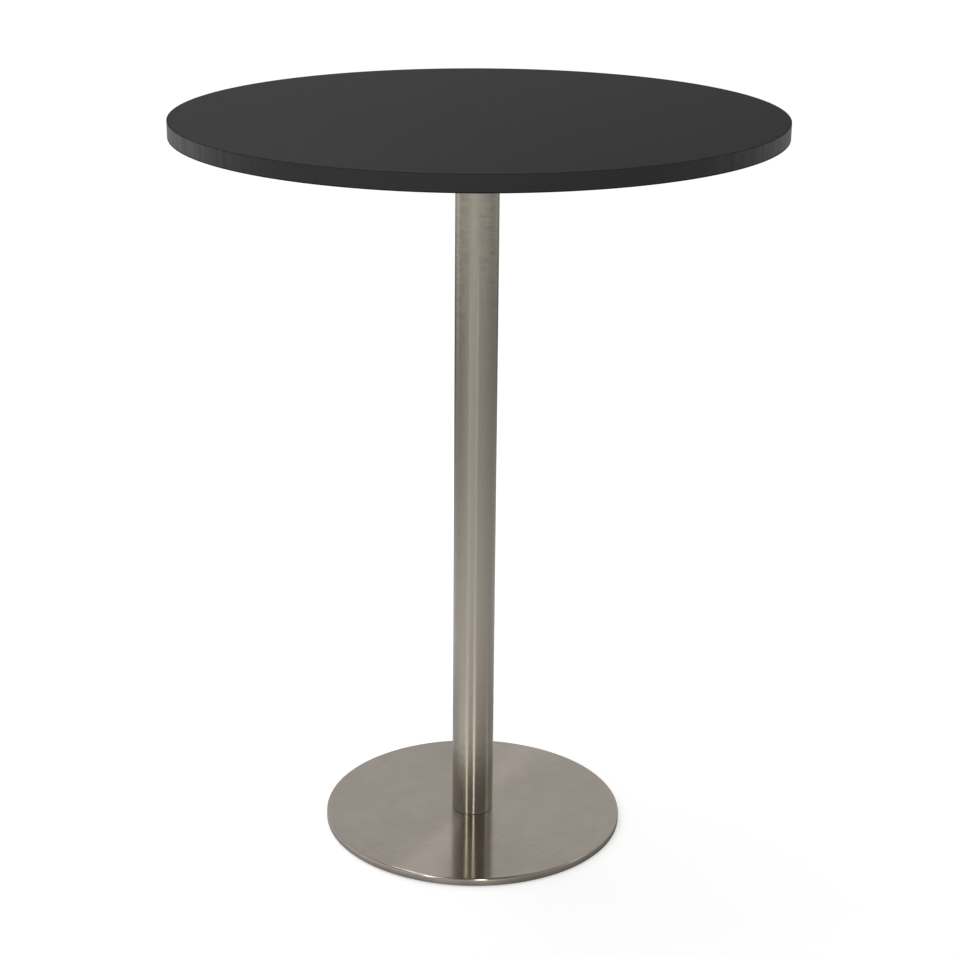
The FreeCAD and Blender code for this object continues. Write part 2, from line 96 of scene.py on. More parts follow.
def turned_mesh(name, outline, centre=(0.0, 0.0), turns=96):
    """A solid of revolution about a vertical line through centre.

    A closed outline of (r, z) points runs anticlockwise, with r to the right and z up. Point
    (r, z) at angle a lies at (centre x + r cos a, centre y + r sin a, z).
    """
    outline = np.asarray(outline, float)
    angles = np.arange(turns) * 2 * math.pi / turns
    radius, height = outline[:, 0][:, None], outline[:, 1][:, None]
    across = centre[0] + radius * np.cos(angles)
    along = centre[1] + radius * np.sin(angles)
    points = np.stack([across, along, np.broadcast_to(height, across.shape)], axis=-1)
    row = np.arange(len(outline))[:, None] * turns
    next_row = np.roll(row, -1, axis=0)
    column = np.arange(turns)[None, :]
    next_column = np.roll(column, -1, axis=1)
    faces = np.stack(
        [row + column, row + next_column, next_row + next_column, next_row + column], axis=-1)
    mesh = bpy.data.meshes.new(name)
    mesh.from_pydata(points.reshape(-1, 3).tolist(), [], faces.reshape(-1, 4).tolist())
    shade_smooth(mesh)
    return placed(name, mesh)


def shader_group(name, inputs, outputs):
    """An empty shader node group with named sockets, given as (name, socket type, default)."""
    group = bpy.data.node_groups.new(name, "ShaderNodeTree")
    for socket_name, kind, default in inputs:
        socket = group.interface.new_socket(socket_name, in_out="INPUT", socket_type=kind)
        if default is not None:
            socket.default_value = default
    for socket_name, kind in outputs:
        group.interface.new_socket(socket_name, in_out="OUTPUT", socket_type=kind)
    return group, group.nodes.new("NodeGroupInput"), group.nodes.new("NodeGroupOutput")


def plug(tree, socket, value):
    """Link another node's output to a socket, or set a plain number, vector or colour on it."""
    if isinstance(value, bpy.types.NodeSocket):
        tree.links.new(value, socket)
    else:
        socket.default_value = value


def feed(tree, node, **inputs):
    """Plug values into a node's inputs, which are named with _ for each space."""
    for socket_name, value in inputs.items():
        plug(tree, node.inputs[socket_name.replace("_", " ")], value)


def arithmetic(tree, operation, *values):
    """The result of a Math node, its inputs given in order as outputs or numbers."""
    node = tree.nodes.new("ShaderNodeMath")
    node.operation = operation
    for socket, value in zip(node.inputs, values):
        plug(tree, socket, value)
    return node.outputs[0]


def vector_arithmetic(tree, operation, *values):
    """The result of a Vector Math node: a number for a length, or else a vector."""
    node = tree.nodes.new("ShaderNodeVectorMath")
    node.operation = operation
    sockets = (node.inputs[0], node.inputs["Scale"]) if operation == "SCALE" else node.inputs
    for socket, value in zip(sockets, values):
        plug(tree, socket, value)
    return node.outputs["Value" if operation == "LENGTH" else "Vector"]


def noise(tree, place, scale, detail, roughness=0.5):
    """The value of a Noise Texture read at a place."""
    node = tree.nodes.new("ShaderNodeTexNoise")
    feed(tree, node, Vector=place, Scale=scale, Detail=detail, Roughness=roughness)
    return node.outputs["Fac"]


def object_place(tree):
    """The object coordinates, in metres."""
    return tree.nodes.new("ShaderNodeTexCoord").outputs["Object"]


def new_material(name, **settings):
    """A material with one Principled shader whose plain settings are given by name."""
    material = bpy.data.materials.new(name)
    material.use_nodes = True
    shader = material.node_tree.nodes["Principled BSDF"]
    feed(material.node_tree, shader, **settings)
    return material, material.node_tree, shader


def group_node(tree, group, **settings):
    """A node that stands for a shader group, its inputs given by name."""
    node = tree.nodes.new("ShaderNodeGroup")
    node.node_tree = group
    feed(tree, node, **settings)
    return node


def dress(node_name, material):
    """Give a CAD node that stays in view its material."""
    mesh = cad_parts[node_name].data
    mesh.materials.clear()
    mesh.materials.append(material)


def put_in_place(piece, material, node_name, body):
    """Finish a new piece: give it its material, put it on the body it rides on, and hide the CAD
    node it stands in for.
    """
    piece.data.materials.append(material)
    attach(piece, body)
    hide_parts(node_name)


# Speckle: a fine even grain of a painted, moulded or laminated surface.
speckle, speckle_in, speckle_out = shader_group(
    "speckle",
    [("Grain Size", "NodeSocketFloat", 0.0006), ("Color", "NodeSocketColor", None),
     ("Color Change", "NodeSocketFloat", 0.1), ("Roughness", "NodeSocketFloat", 0.5),
     ("Roughness Change", "NodeSocketFloat", 0.1)],
    [("Color", "NodeSocketColor"), ("Roughness", "NodeSocketFloat"), ("Height", "NodeSocketFloat")])
CLOUD_TO_GRAIN = 40


def join_speckle():
    """Height is fine noise; colour and roughness follow it and a broad cloud of noise."""
    place = object_place(speckle)
    frequency = arithmetic(speckle, "DIVIDE", 1.0, speckle_in.outputs["Grain Size"])
    broad_frequency = arithmetic(speckle, "MULTIPLY", frequency, 1 / CLOUD_TO_GRAIN)
    fine = noise(speckle, place, frequency, detail=2.0)
    broad = noise(speckle, place, broad_frequency, detail=3.0)
    both = arithmetic(speckle, "ADD", fine, broad)
    centred = arithmetic(speckle, "SUBTRACT", both, 1.0)
    shade = arithmetic(
        speckle, "MULTIPLY_ADD", centred, speckle_in.outputs["Color Change"], 1.0)
    tint = vector_arithmetic(speckle, "SCALE", speckle_in.outputs["Color"], shade)
    gloss = arithmetic(speckle, "MULTIPLY_ADD", centred, speckle_in.outputs["Roughness Change"],
                       speckle_in.outputs["Roughness"])
    feed(speckle, speckle_out, Color=tint, Roughness=gloss, Height=fine)


join_speckle()


def speckled_material(name, color, grain, roughness, color_change=0.1, roughness_change=0.1,
                      bump_strength=0.3, bump_depth=0.0002, **settings):
    """A painted, moulded or laminated surface with the speckle grain."""
    material, tree, shader = new_material(name, **settings)
    grains = group_node(tree, speckle, Grain_Size=grain, Color=(*color, 1),
                        Color_Change=color_change, Roughness=roughness,
                        Roughness_Change=roughness_change).outputs
    bump = tree.nodes.new("ShaderNodeBump")
    feed(tree, bump, Strength=bump_strength, Distance=bump_depth, Height=grains["Height"])
    feed(tree, shader, Base_Color=grains["Color"], Roughness=grains["Roughness"],
         Normal=bump.outputs["Normal"])
    return material


PLASTIC_BLACK = (0.012, 0.012, 0.012)
ZINC_COLOR = (0.42, 0.43, 0.44)
PAD_RADIUS = 0.015
PAD_HEIGHT = 0.0046
PAD_FLOOR = 0.0014
PAD_SOCKET_RADIUS = 0.00708
PAD_SOCKET_TOP = 0.0033
PAD_MOUTH_RADIUS = 0.00408
PAD_KEY_HOLE_RADIUS = 0.00325
PAD_CHAMFER = 0.0008
PAD_EDGE_RADIUS = 0.0003

moulded_plastic = speckled_material(
    "moulded_black_plastic", PLASTIC_BLACK, grain=0.0004, roughness=0.45)
pad_corners = [
    (PAD_KEY_HOLE_RADIUS, 0.0), (PAD_RADIUS - PAD_CHAMFER, 0.0), (PAD_RADIUS, PAD_CHAMFER),
    (PAD_RADIUS, PAD_HEIGHT - PAD_CHAMFER), (PAD_RADIUS - PAD_CHAMFER, PAD_HEIGHT),
    (PAD_MOUTH_RADIUS, PAD_HEIGHT), (PAD_MOUTH_RADIUS, PAD_SOCKET_TOP),
    (PAD_SOCKET_RADIUS, PAD_SOCKET_TOP), (PAD_SOCKET_RADIUS, PAD_FLOOR),
    (PAD_KEY_HOLE_RADIUS, PAD_FLOOR),
]
zinc_plate = speckled_material("zinc_plate", ZINC_COLOR, grain=0.0009, roughness=0.32,
                               color_change=0.25, roughness_change=0.2, bump_strength=0.15,
                               Metallic=1.0)
for number in (1, 2, 3, 4):
    low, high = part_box(f"glide_pad_{number}")
    middle = ((low[0] + high[0]) / 2, (low[1] + high[1]) / 2)
    pad = turned_mesh(f"pad_{number}", rounded_profile(pad_corners, PAD_EDGE_RADIUS), middle)
    put_in_place(pad, moulded_plastic, f"glide_pad_{number}", f"glide_{number}")
    dress(f"glide_stud_{number}", zinc_plate)


# Ballast plate, spigot and their screws -------------------------------------------------------
# A flame-cut steel disc with thin black primer gives the table its weight. A turned spigot is
# held on it from below by three countersunk machine screws.

PRIMER_COLOR = (0.024, 0.024, 0.025)
TURNED_STEEL_COLOR = (0.2, 0.195, 0.19)
SOCKET_DEPTH = 0.003
SOCKET_APOTHEM = 0.0025
WALL_WIDTH = 0.0003
SPIGOT_SCREW_REACH = 0.019


def eased_step(value):
    """0 below 0, 1 above 1, and 3 v^2 - 2 v^3 between them."""
    value = np.clip(value, 0, 1)
    return value ** 2 * (3 - 2 * value)


def inside(distance):
    """1 inside an edge and 0 outside it, with the wall's width to change in across the edge."""
    return eased_step(distance / WALL_WIDTH + 0.5)


def hexagon_socket(radius, angle):
    """Depth of a hexagon socket: full inside the six flats, with a narrow wall.

    The distance over the nearest flat is r * cos(the angle from that flat's middle).
    """
    from_flat = (angle + math.pi / 6) % (math.pi / 3) - math.pi / 6
    return SOCKET_DEPTH * inside(SOCKET_APOTHEM - radius * np.cos(from_flat))


def ring_faces(rings, turns):
    """The four-cornered faces between neighbouring rings of points, closed after one turn."""
    row = np.arange(rings - 1)[:, None] * turns
    column = np.arange(turns)[None, :]
    next_column = np.roll(column, -1, axis=1)
    return np.stack([row + column, row + turns + column, row + turns + next_column,
                     row + next_column], axis=-1)


# The rings of a screw's face crowd towards its rim by this power.
FACE_RING_POWER = 0.8
# A thread has this many rings of points to a turn. Its ridge is this steep, and its grooves
# start this far up the wave, so that crest and root are both flat.
RINGS_PER_PITCH = 6
RIDGE_SLOPE = 2
RIDGE_START = 0.5
# The share of the width that is left where the point ends, and how close points are joined.
TIP_WIDTH = 0.15
JOIN_DISTANCE = 1e-6


def countersunk_screws(name, places, underside, head, shank, root, length, point, pitch, recess,
                       turns=64, face_rings=26):
    """Screws that stand point up with their heads flush at the underside, joined in one mesh.

    Point (r, z) at angle a lies at (x + r cos a, y + r sin a, z). The head's face is a ring grid
    sunk by the recess's depth at (r, a). Its cone narrows at 45 degrees to the shank. Down the
    thread, r = root + (shank - root) * the ridge, a triangle wave of z / pitch - a / (2 pi) with
    its tops and bottoms cut off, the first quarter pitch is plain shank, and the point narrows
    in a straight line to its tip.
    """
    angle = np.linspace(0, 2 * math.pi, turns, endpoint=False)[None, :]
    face_radius = np.linspace(0, 1, face_rings)[:, None] ** FACE_RING_POWER * head
    face_height = recess(face_radius, angle)
    neck = head - shank
    height = np.arange(neck, length, pitch / RINGS_PER_PITCH)[:, None]
    wave = 1 - np.abs(2 * ((height / pitch - angle / (2 * math.pi)) % 1) - 1)
    ridge = np.clip(RIDGE_SLOPE * wave - RIDGE_START, 0, 1) * eased_step((height - neck) / pitch)
    thread = root + (shank - root) * ridge
    thread = np.where(height < neck + pitch / 4, shank, thread)
    thread = thread * np.clip((length - height) / point + TIP_WIDTH, 0, 1)
    radius = np.concatenate([face_radius + 0 * angle, thread, np.zeros((1, turns))])
    lift = np.concatenate([face_height, height + 0 * angle, np.full((1, turns), length)])
    rings = len(radius)
    places = np.array(places, float)
    across = places[:, 0][:, None, None] + radius * np.cos(angle)
    along = places[:, 1][:, None, None] + radius * np.sin(angle)
    points = np.stack([across, along, np.broadcast_to(underside + lift, across.shape)], axis=-1)
    first_point = np.arange(len(places))[:, None, None, None] * rings * turns
    faces = (first_point + ring_faces(rings, turns)).reshape(-1, 4)
    mesh = bpy.data.meshes.new(name)
    mesh.from_pydata(points.reshape(-1, 3).tolist(), [], faces[:, ::-1].tolist())
    closed = bmesh.new()
    closed.from_mesh(mesh)
    bmesh.ops.remove_doubles(closed, verts=closed.verts, dist=JOIN_DISTANCE)
    bmesh.ops.recalc_face_normals(closed, faces=closed.faces)
    closed.to_mesh(mesh)
    closed.free()
    shade_smooth(mesh)
    return placed(name, mesh)


spigot_screw_places = [
    (SPIGOT_SCREW_REACH * math.cos(turn), SPIGOT_SCREW_REACH * math.sin(turn))
    for turn in np.radians((0, 120, 240))
]
machine_screws = countersunk_screws(
    "socket_screws", spigot_screw_places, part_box("spigot_screws")[0][2], head=0.0079, shank=0.004,
    root=0.0034, length=0.02, point=0.0008, pitch=0.00125, recess=hexagon_socket)
put_in_place(machine_screws, zinc_plate, "spigot_screws", "table")

primer = speckled_material("black_primer", PRIMER_COLOR, grain=0.0012, roughness=0.6,
                           color_change=0.3, bump_strength=0.4)
turned_steel = speckled_material("turned_steel", TURNED_STEEL_COLOR, grain=0.0007, roughness=0.35,
                                 color_change=0.2, Metallic=1.0)
dress("ballast_plate", primer)
dress("foot_spigot", turned_steel)


# Base cover -----------------------------------------------------------------------------------
# A disc of stainless sheet, pressed over the ballast with a small rounded rim and a short
# skirt, and brushed in rings about its centre. The column's foot clamps it in the middle.

COVER_RADIUS = 0.225
COVER_SHEET = 0.0006
COVER_BEND_RADIUS = 0.003
COVER_HOLE_RADIUS = 0.0294
COVER_EDGE_BREAK = 0.0001
# Points this far from the end of a bend or of an edge keep the shading of the flats true.
FLAT_GUARD = 0.0005
SKIRT_GUARD = 0.0003
COVER_COLOR = (0.290, 0.258, 0.224)

# Scratches: how often the noise changes along the brushing and across it, and its detail.
FINE_SCRATCHES = (4.0, 2600.0, 3.0)
WIDE_SCRATCHES = (2.0, 380.0, 2.0)
SCRATCH_ROUGHNESS = 0.6
WIDE_SHARE = 0.4
QUARTER_TURN = 0.25
CLOUDS_PER_METRE = 26.0
CLOUD_DETAIL = 6.0
CLOUD_ROUGHNESS = 0.65

brushed, brushed_in, brushed_out = shader_group(
    "brushed_grain",
    [("Round", "NodeSocketVector", None), ("Across", "NodeSocketFloat", 0.0),
     ("Color", "NodeSocketColor", None), ("Color Change", "NodeSocketFloat", 0.1),
     ("Cloud Change", "NodeSocketFloat", 0.05),
     ("Roughness", "NodeSocketFloat", 0.3), ("Roughness Change", "NodeSocketFloat", 0.1),
     ("Tilt", "NodeSocketFloat", 0.4)],
    [("Color", "NodeSocketColor"), ("Roughness", "NodeSocketFloat"),
     ("Normal", "NodeSocketVector")])


def mixed(tree, kind, share, first, second):
    """A mix of two numbers or colours that holds this share of the second."""
    node = tree.nodes.new("ShaderNodeMix")
    node.data_type = kind
    feed(tree, node, Factor=share, A=first, B=second)
    return node.outputs["Result"]


def leaning_normal(tree, normal, direction, amount):
    """The unit vector along normal + direction * amount."""
    lean = vector_arithmetic(tree, "SCALE", direction, amount)
    return vector_arithmetic(tree, "NORMALIZE", vector_arithmetic(tree, "ADD", normal, lean))


def join_brushed():
    """Fine scratches that run round the axis, over slow clouds of tone.

    Round is the unit direction from the axis, so that noise read at (Round * k, Across * K)
    closes on itself after one turn. K is far larger than k, which draws each grain out along
    the brushing. The normal leans only across the brushing: normal + (normal x around) * tilt *
    (scratches - 0.5), where around is the level direction along the grain.
    """
    round_way, across_way = brushed_in.outputs["Round"], brushed_in.outputs["Across"]

    def scratches_of(along, across, detail):
        around = vector_arithmetic(brushed, "SCALE", round_way, along)
        upright = brushed.nodes.new("ShaderNodeCombineXYZ")
        feed(brushed, upright, Z=arithmetic(brushed, "MULTIPLY", across_way, across))
        place = vector_arithmetic(brushed, "ADD", around, upright.outputs[0])
        return noise(brushed, place, 1.0, detail, SCRATCH_ROUGHNESS)

    def swing(value, amount, centre):
        """centre + (value - 0.5) * the group input that gives the amount."""
        offset = arithmetic(brushed, "SUBTRACT", value, 0.5)
        return arithmetic(brushed, "MULTIPLY_ADD", offset, brushed_in.outputs[amount], centre)

    scratches = mixed(brushed, "FLOAT", WIDE_SHARE, scratches_of(*FINE_SCRATCHES),
                      scratches_of(*WIDE_SCRATCHES))
    clouds = noise(
        brushed, object_place(brushed), CLOUDS_PER_METRE, CLOUD_DETAIL, CLOUD_ROUGHNESS)
    shade = arithmetic(brushed, "ADD", swing(scratches, "Color Change", 1.0),
                       swing(clouds, "Cloud Change", 0.0))
    tint = vector_arithmetic(brushed, "SCALE", brushed_in.outputs["Color"], shade)
    gloss = swing(scratches, "Roughness Change", brushed_in.outputs["Roughness"])
    face = brushed.nodes.new("ShaderNodeNewGeometry").outputs["Normal"]
    around = vector_arithmetic(brushed, "CROSS_PRODUCT", (0, 0, 1), round_way)
    across = vector_arithmetic(brushed, "CROSS_PRODUCT", face, around)
    leaning = leaning_normal(brushed, face, across, swing(scratches, "Tilt", 0.0))
    feed(brushed, brushed_out, Color=tint, Roughness=gloss, Normal=leaning)


join_brushed()


def level_part(tree, place):
    """A place with its height set to nothing."""
    return vector_arithmetic(tree, "MULTIPLY", place, (1, 1, 0))


def height_part(tree, place):
    """The height of a place."""
    split = tree.nodes.new("ShaderNodeSeparateXYZ")
    feed(tree, split, Vector=place)
    return split.outputs["Z"]


def brushed_steel(name, color, across_axis, roughness, color_change, cloud_change,
                  roughness_change, tilt):
    """Stainless steel brushed round the vertical axis; across_axis is radius or height."""
    material, tree, shader = new_material(
        name, Metallic=1.0, Anisotropic=1.0, Anisotropic_Rotation=QUARTER_TURN)
    tangent = tree.nodes.new("ShaderNodeTangent")
    tangent.direction_type = "RADIAL"
    tangent.axis = "Z"
    place = object_place(tree)
    level = level_part(tree, place)
    if across_axis == "radius":
        across = vector_arithmetic(tree, "LENGTH", level)
    else:
        across = height_part(tree, place)
    grain = group_node(
        tree, brushed, Round=vector_arithmetic(tree, "NORMALIZE", level), Across=across,
        Color=(*color, 1), Color_Change=color_change, Cloud_Change=cloud_change,
        Roughness=roughness, Roughness_Change=roughness_change, Tilt=tilt).outputs
    feed(tree, shader, Base_Color=grain["Color"], Roughness=grain["Roughness"],
         Normal=grain["Normal"], Tangent=tangent.outputs["Tangent"])
    return material


def bend(centre, radius, start, end, steps=12):
    """Points of a circular arc about centre, from one angle to another in degrees."""
    angles = np.radians(np.linspace(start, end, steps))
    return [(centre[0] + radius * math.cos(a), centre[1] + radius * math.sin(a)) for a in angles]


cover_low, cover_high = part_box("base_cover")
cover_bottom, cover_top = cover_low[2], cover_high[2]
cover_inside = COVER_RADIUS - COVER_SHEET
cover_flat_radius = COVER_RADIUS - COVER_BEND_RADIUS - FLAT_GUARD
bend_centre = (COVER_RADIUS - COVER_BEND_RADIUS, cover_top - COVER_BEND_RADIUS)
cover_outline = [
    (COVER_HOLE_RADIUS, cover_top - COVER_SHEET),
    (cover_flat_radius, cover_top - COVER_SHEET),
    *bend(bend_centre, COVER_BEND_RADIUS - COVER_SHEET, 90, 0),
    (cover_inside, bend_centre[1] - SKIRT_GUARD),
    (cover_inside, cover_bottom + SKIRT_GUARD),
    (cover_inside, cover_bottom + COVER_EDGE_BREAK),
    (cover_inside + COVER_EDGE_BREAK, cover_bottom),
    (COVER_RADIUS - COVER_EDGE_BREAK, cover_bottom),
    (COVER_RADIUS, cover_bottom + COVER_EDGE_BREAK),
    (COVER_RADIUS, cover_bottom + SKIRT_GUARD),
    (COVER_RADIUS, bend_centre[1] - SKIRT_GUARD),
    *bend(bend_centre, COVER_BEND_RADIUS, 0, 90),
    (cover_flat_radius, cover_top),
    (COVER_HOLE_RADIUS, cover_top),
]
cover_steel = brushed_steel("ring_brushed_stainless", COVER_COLOR, "radius", roughness=0.175,
                            color_change=0.2, cloud_change=0.3, roughness_change=0.06, tilt=0.5)
cover = turned_mesh("brushed_cover", cover_outline, turns=256)
put_in_place(cover, cover_steel, "base_cover", "table")


# Foot gasket ----------------------------------------------------------------------------------
# A thin plastic ring under the column's cut end. It keeps the tube from marking the brushed
# cover and is held only by the pull of the rod.

TUBE_RADIUS = 0.031
TUBE_BORE_RADIUS = 0.0295
GASKET_EDGE_RADIUS = 0.0002
GASKET_COLOR = (0.2, 0.19, 0.18)


def ring_corners(inner, outer, box):
    """The four corners of a ring's section, between the floor and the lid of a node's box."""
    bottom, top = box[0][2], box[1][2]
    return [(inner, bottom), (outer, bottom), (outer, top), (inner, top)]


gasket_corners = ring_corners(TUBE_BORE_RADIUS, TUBE_RADIUS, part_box("foot_gasket"))
gasket_plastic = speckled_material(
    "dark_gasket_plastic", GASKET_COLOR, grain=0.0005, roughness=0.3)
gasket = turned_mesh(
    "gasket_ring", rounded_profile(gasket_corners, GASKET_EDGE_RADIUS), turns=128)
put_in_place(gasket, gasket_plastic, "foot_gasket", "table")


# Column ---------------------------------------------------------------------------------------
# A round stainless tube, satin polished by turning it against an abrasive belt, so that its
# grain runs round it. Both ends are cut square and the edges lightly broken.

TUBE_EDGE_RADIUS = 0.0003
TUBE_COLOR = (0.315, 0.286, 0.240)

tube_corners = ring_corners(TUBE_BORE_RADIUS, TUBE_RADIUS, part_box("column_tube"))
tube_steel = brushed_steel("satin_tube_stainless", TUBE_COLOR, "height", roughness=0.205,
                           color_change=0.08, cloud_change=0.04, roughness_change=0.06, tilt=0.3)
tube = turned_mesh("satin_column", rounded_profile(tube_corners, TUBE_EDGE_RADIUS), turns=160)
put_in_place(tube, tube_steel, "column_tube", "table")


# Rod, hub, washers and nut --------------------------------------------------------------------
# One threaded rod runs up the column from the spigot. Its nut pulls down on a flat and a
# spring washer in a turned hub, which is welded under the mounting plate.

POWDER_BLACK = (0.014, 0.014, 0.0145)

powder_coat = speckled_material("black_powder_coat", POWDER_BLACK, grain=0.0007, roughness=0.5,
                                roughness_change=0.15, bump_strength=0.5)
for node_name in ("tie_rod", "hub_washer", "hub_spring_washer", "hub_nut"):
    dress(node_name, zinc_plate)
dress("plate_hub", powder_coat)


# Mounting plate and wood screws ---------------------------------------------------------------
# A square of 5 mm steel with rounded corners, powder coated black, is screwed up into the
# board with eight countersunk wood screws whose heads lie flush.

PLATE_SCREW_REACH = 0.128
CROSS_DEPTH = 0.0021
CROSS_REACH = 0.0023
CROSS_HALF_WIDTH = 0.0005
CROSS_END_RISE = 0.67


def cross_recess(radius, angle):
    """Depth of a cross recess: two arms at right angles, shallower towards their ends.

    Off an arm's middle line by r * |sin(angle from the arm)|, the depth falls to nothing at the
    arm's half width, and along the arm it falls to a third at its end.
    """
    from_arm = (angle + math.pi / 4) % (math.pi / 2) - math.pi / 4
    off_arm = radius * np.abs(np.sin(from_arm))
    in_arm = inside(CROSS_HALF_WIDTH - off_arm) * inside(CROSS_REACH - radius)
    return CROSS_DEPTH * in_arm * (1 - CROSS_END_RISE * np.clip(radius / CROSS_REACH, 0, 1))


dress("mounting_plate", powder_coat)
plate_screw_places = [
    (PLATE_SCREW_REACH * across, PLATE_SCREW_REACH * along)
    for across in (-1, 0, 1) for along in (-1, 0, 1) if across or along
]
wood_screws = countersunk_screws(
    "wood_screws", plate_screw_places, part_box("plate_screws")[0][2], head=0.0047, shank=0.0025,
    root=0.0017, length=0.02, point=0.005, pitch=0.0022, recess=cross_recess)
put_in_place(wood_screws, zinc_plate, "plate_screws", "table")


# Board, backing sheet and laminate ------------------------------------------------------------
# Particle board 22 mm thick, with a matt charcoal high-pressure laminate bonded on top and a
# thin dark balancing sheet below, which keeps the board flat.

PARTICLE_BOARD_COLOR = (0.36, 0.26, 0.16)
BACKING_COLOR = (0.026, 0.025, 0.024)
CHARCOAL = (0.0278, 0.0276, 0.0278)

particle_board = speckled_material("particle_board", PARTICLE_BOARD_COLOR, grain=0.002,
                                   roughness=0.8, color_change=0.7)
backing_sheet = speckled_material(
    "dark_backing_sheet", BACKING_COLOR, grain=0.0008, roughness=0.65)
laminate_sheet = speckled_material("charcoal_laminate", CHARCOAL, grain=0.0006, roughness=0.6,
                                   color_change=0.06, roughness_change=0.08, bump_strength=0.25,
                                   Specular_IOR_Level=0.01)
dress("top_core", particle_board)
dress("backing_laminate", backing_sheet)
dress("top_laminate", laminate_sheet)


# Edge band ------------------------------------------------------------------------------------
# A 2 mm charcoal plastic band glued round the board over both sheets. Its arrises are scraped
# to a small radius, and its rolled surface has a faint upright ripple.

BAND_RADIUS = 0.425
BAND_INNER_RADIUS = 0.423
BAND_EDGE_RADIUS = 0.0005
BAND_COLOR = (0.0285, 0.0285, 0.0289)
RIPPLES_PER_METRE = 75.0
RIPPLE_DEPTH = 0.35

band_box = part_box("edge_band")
# Each darkened arris: its height, how far the darkening reaches from there, the tone that is left.
# The lower arris gets painted shade, where the floor's light would not reach; the top arris gets a
# thin darker line.
DARKENED_ARRISES = ((band_box[1][2], -0.0006, 0.45), (band_box[0][2], 0.0016, 0.12))
FULLY_DARKENED = 0.7


def ramp(tree, value, interpolation="LINEAR", **ends):
    """The result of a Map Range node, from 0 to 1 on both sides but for the ends given by name."""
    node = tree.nodes.new("ShaderNodeMapRange")
    node.interpolation_type = interpolation
    feed(tree, node, Value=value, **ends)
    return node.outputs["Result"]


def edge_band_plastic():
    """Speckled plastic with painted shade along its lower arris, a thin darker line along its top
    arris, and a faint upright ripple.

    The ripple leans the normal sideways: normal + around * depth * (noise round the edge - 0.5).
    """
    material = speckled_material("charcoal_edge_band", BAND_COLOR, grain=0.0005, roughness=0.45,
                                 color_change=0.06, Specular_IOR_Level=0.19)
    tree = material.node_tree
    shader = tree.nodes["Principled BSDF"]
    place = object_place(tree)
    height = height_part(tree, place)
    grains = shader.inputs["Base Color"].links[0].from_node
    shade, dullness = grains.outputs["Color"], grains.outputs["Roughness"]
    # Painted shade: each arris is darkened and its gloss dulled, deepest at the lower arris.
    for edge, depth, darkness in DARKENED_ARRISES:
        arris_darkening = ramp(tree, height, From_Min=edge + depth, From_Max=edge + depth * FULLY_DARKENED)
        dark = (*(channel * darkness for channel in BAND_COLOR), 1)
        shade = mixed(tree, "RGBA", arris_darkening, shade, dark)
        dullness = mixed(tree, "FLOAT", arris_darkening, dullness, 1.0)
    level = level_part(tree, place)
    ripple = noise(tree, level, RIPPLES_PER_METRE, detail=1.0)
    depth = arithmetic(tree, "MULTIPLY_ADD", ripple, RIPPLE_DEPTH, -RIPPLE_DEPTH / 2)
    around = vector_arithmetic(tree, "CROSS_PRODUCT", (0, 0, 1 / BAND_RADIUS), level)
    bumped = tree.nodes["Bump"].outputs["Normal"]
    feed(tree, shader, Base_Color=shade, Roughness=dullness,
         Normal=leaning_normal(tree, bumped, around, depth))
    return material


band_plastic = edge_band_plastic()
band_corners = ring_corners(BAND_INNER_RADIUS, BAND_RADIUS, band_box)
band = turned_mesh("edge_band_strip", rounded_profile(band_corners, BAND_EDGE_RADIUS), turns=256)
put_in_place(band, band_plastic, "edge_band", "table")


# Studio ---------------------------------------------------------------------------------------
# A pale floor and a white surround under a soft overhead lamp and a soft lamp at the left. Three
# narrow strip lamps far away and a ring of grey on the floor show only in the polished steel.

def ray_strength(tree, other, camera_ray, mirror_ray):
    """A strength that depends on what looks at the surface.

    It is camera_ray for the camera, mirror_ray in glossy and clear surfaces, and other for the
    light that falls on things.
    """
    rays = tree.nodes.new("ShaderNodeLightPath").outputs
    mirror = arithmetic(tree, "MAXIMUM", rays["Is Glossy Ray"], rays["Is Transmission Ray"])
    unseen = ramp(tree, mirror, To_Min=other, To_Max=mirror_ray)
    return mixed(tree, "FLOAT", rays["Is Camera Ray"], unseen, camera_ray)


FLOOR_HALF = 20.0
FLOOR_REFLECTED = 0.5
# The floor's own brightness rises away from the table, so that only the contact shadow is grey.
FLOOR_PALENESS = {"From_Min": 0.25, "From_Max": 1.2, "To_Min": 0.57, "To_Max": 0.7}

floor_material, floor_tree, floor_shader = new_material(
    "pale_floor", Base_Color=(0.8, 0.8, 0.8, 1), Roughness=0.9, Specular_IOR_Level=0.0,
    Emission_Color=(1, 1, 1, 1))
from_middle = vector_arithmetic(floor_tree, "LENGTH", object_place(floor_tree))
paleness = ramp(floor_tree, from_middle, **FLOOR_PALENESS)
feed(floor_tree, floor_shader,
     Emission_Strength=ray_strength(floor_tree, 0.0, paleness, FLOOR_REFLECTED))
floor_mesh = bpy.data.meshes.new("studio_floor")
floor_mesh.from_pydata(
    [(FLOOR_HALF * x, FLOOR_HALF * y, 0) for x, y in ((-1, -1), (1, -1), (1, 1), (-1, 1))],
    [], [(0, 1, 2, 3)])
floor_mesh.materials.append(floor_material)
sheet = placed("studio_floor", floor_mesh)

SURROUND_LIGHT = 0.4
SURROUND_SEEN = 1.0
# In gloss the surround is white but for a broad grey patch high in front, which ends at the left.
SURROUND_REFLECTED = 0.95
PATCH_DEPTH = 0.46
# Each side of the patch: an axis, where the patch starts on it and where it is full.
PATCH_SIDES = (("X", -1.0, -0.55), ("Y", 0.45, -0.05), ("Z", 0.1, 0.35))

